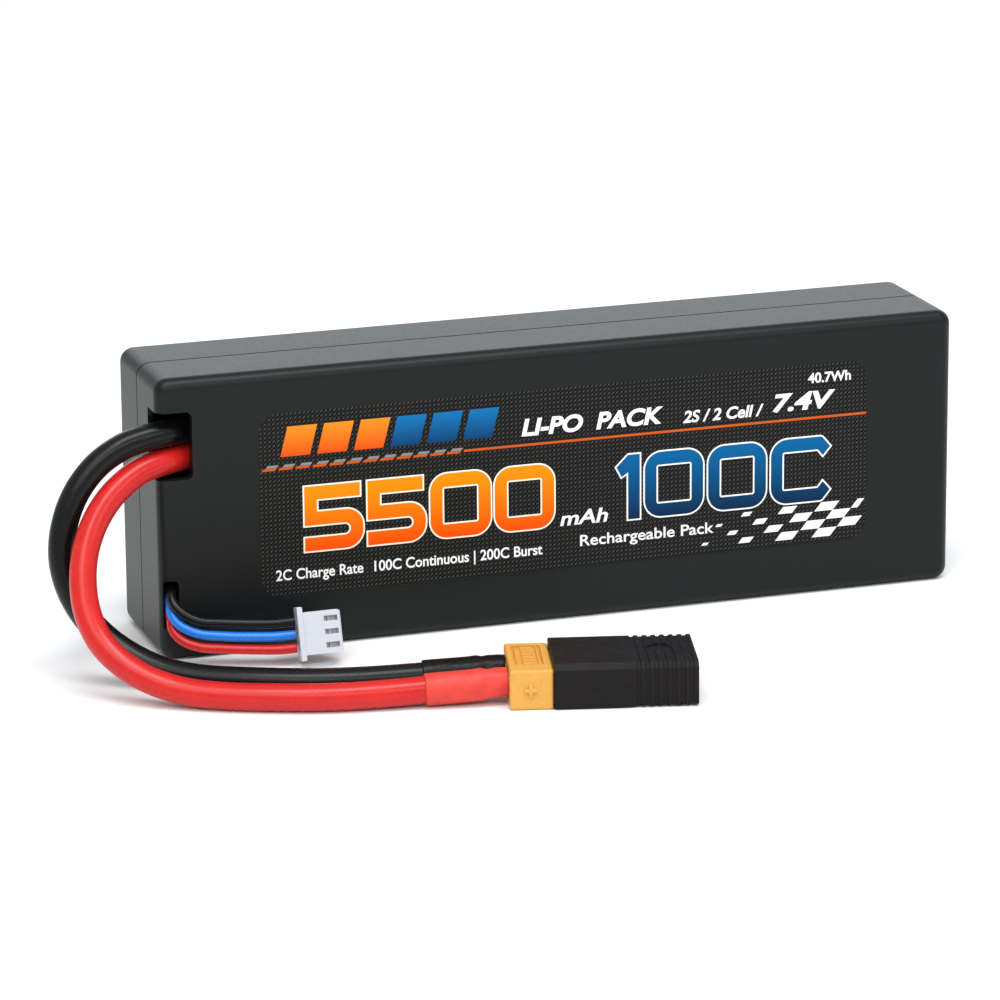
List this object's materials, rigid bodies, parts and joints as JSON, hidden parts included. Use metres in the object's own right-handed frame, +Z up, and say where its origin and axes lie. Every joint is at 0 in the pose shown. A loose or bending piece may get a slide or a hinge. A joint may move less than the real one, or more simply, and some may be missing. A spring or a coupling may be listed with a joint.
{
  "type": "lipo battery pack",
  "caption": "Hard-case lithium polymer battery pack for remote control models, with silicone power leads to a plug, a pull-off plug adapter and a balance lead.",
  "frame": {"origin": "centre of the case's bottom, on the surface that the pack stands on", "axes": "+X along the case towards its plain end, away from the leads; +Y towards the back face, away from the label; +Z up"},
  "size_m": [0.1565, 0.0755, 0.047],
  "materials": {
    "case_plastic": "fine moulded texture",
    "label_film": "printed film",
    "pouch_film": "pressed laminate foil",
    "foam": "closed-cell foam",
    "tape": "adhesive tape",
    "aluminium_tab": "rolled",
    "nickel_tab": "rolled",
    "board_laminate": "solder-masked laminate",
    "solder": "bright solder",
    "red_silicone": "satin silicone",
    "black_silicone": "satin silicone",
    "blue_silicone": "satin silicone",
    "red_shrink": "shrunk sleeve",
    "black_shrink": "shrunk sleeve",
    "yellow_nylon": "moulded",
    "gold_contact": "gold plated",
    "black_nylon": "moulded",
    "brass_blade": "stamped",
    "white_nylon": "moulded",
    "tin_contact": "tin plated"
  },
  "bodies": {
    "pack": {"case_front_shell": "case_plastic", "case_back_shell": "case_plastic", "front_label": "label_film", "cell_front": "pouch_film", "cell_back": "pouch_film", "cell_front_tab_positive": "aluminium_tab", "cell_front_tab_negative": "nickel_tab", "cell_back_tab_positive": "aluminium_tab", "cell_back_tab_negative": "nickel_tab", "foam_pad_front": "foam", "foam_pad_back": "foam", "end_foam": "foam", "cell_tape": "tape", "tab_board": "board_laminate", "solder_joint_red": "solder", "solder_joint_black": "solder", "solder_joint_balance_black": "solder", "solder_joint_balance_blue": "solder", "solder_joint_balance_red": "solder", "main_lead_red": "red_silicone", "main_lead_black": "black_silicone", "heat_shrink_red": "red_shrink", "heat_shrink_black": "black_shrink", "power_plug_housing": "yellow_nylon", "power_socket_positive": "gold_contact", "power_socket_negative": "gold_contact", "balance_lead_black": "black_silicone", "balance_lead_blue": "blue_silicone", "balance_lead_red": "red_silicone", "balance_plug_housing": "white_nylon", "balance_contact_red": "tin_contact", "balance_contact_blue": "tin_contact", "balance_contact_black": "tin_contact"},
    "plug_adapter": {"adapter_housing": "black_nylon", "adapter_pin_positive": "gold_contact", "adapter_pin_negative": "gold_contact", "adapter_blade_positive": "brass_blade", "adapter_blade_negative": "brass_blade"}
  },
  "joints": [
    {"name": "adapter_slide", "type": "slide", "parent": "pack", "child": "plug_adapter", "axis": [0.9681, -0.2504, 0], "range_m": [0, 0.012]}
  ]
}
